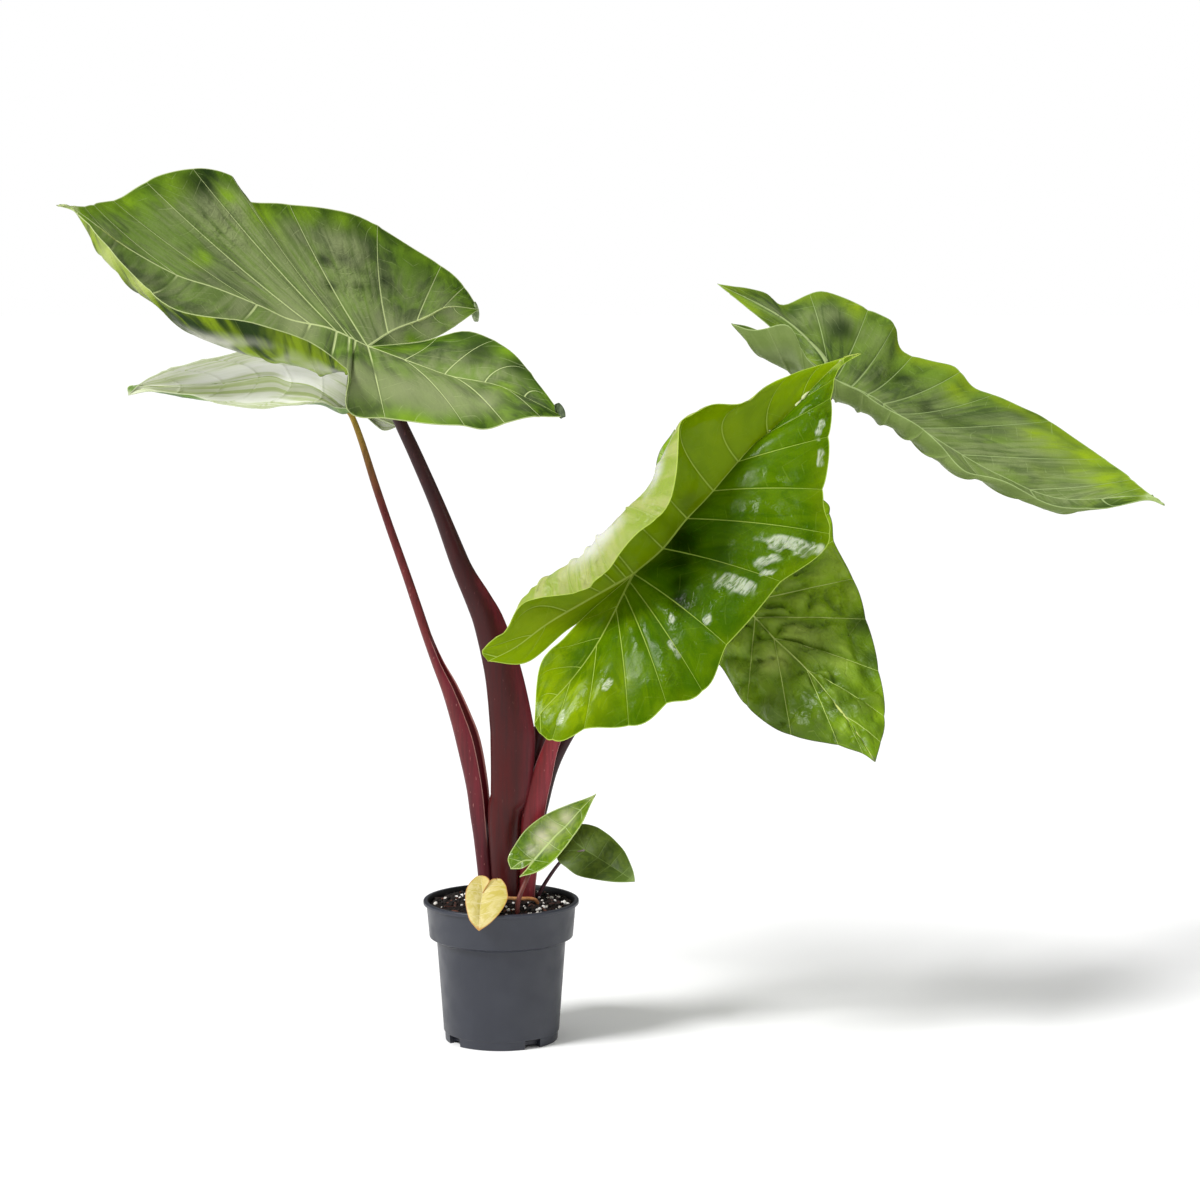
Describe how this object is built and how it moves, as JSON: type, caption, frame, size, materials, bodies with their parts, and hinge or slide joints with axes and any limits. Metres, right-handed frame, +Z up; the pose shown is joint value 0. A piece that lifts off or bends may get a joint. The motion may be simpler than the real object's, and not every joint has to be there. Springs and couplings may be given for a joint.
{
  "type": "potted imperial red alocasia",
  "caption": "Potted aroid house plant: arrow-shaped leaves on sheathed red stalks, standing in potting soil in a tapered nursery pot.",
  "frame": {"origin": "centre of the pot's base, on the surface that the pot stands on", "axes": "+X to the viewer's right and along the plant's width, +Y away from the viewer, +Z up"},
  "size_m": [1.1776, 0.4513, 0.9486],
  "materials": {
    "pot_plastic": "satin dark slate-grey moulded plastic",
    "potting_soil": "damp crumbly soil with perlite",
    "leaf_deep_green": "glossy deep green leaf with paler veins",
    "leaf_bright_green": "glossy yellow-green leaf",
    "leaf_pale_green": "grey-green underside of a leaf",
    "leaf_dark_matte": "dark green leaf, little gloss",
    "leaf_yellow": "spent yellow leaf",
    "stalk_maroon": "smooth dark maroon leaf stalk",
    "stalk_red": "smooth red-brown leaf stalk",
    "stalk_tan": "withered tan leaf stalk"
  },
  "bodies": {
    "root": {"pot": "pot_plastic", "soil": "potting_soil", "stalk_left_high": "stalk_maroon", "stalk_left_low": "stalk_red", "stalk_front": "stalk_red", "stalk_hanging": "stalk_maroon", "stalk_right": "stalk_maroon", "stalk_young_front": "stalk_red", "stalk_young_back": "stalk_red", "stalk_spent": "stalk_tan", "blade_left_high": "leaf_deep_green", "blade_left_low": "leaf_pale_green", "blade_front": "leaf_bright_green", "blade_hanging": "leaf_deep_green", "blade_right": "leaf_deep_green", "blade_young_front": "leaf_bright_green", "blade_young_back": "leaf_dark_matte", "blade_spent": "leaf_yellow"}
  },
  "joints": []
}
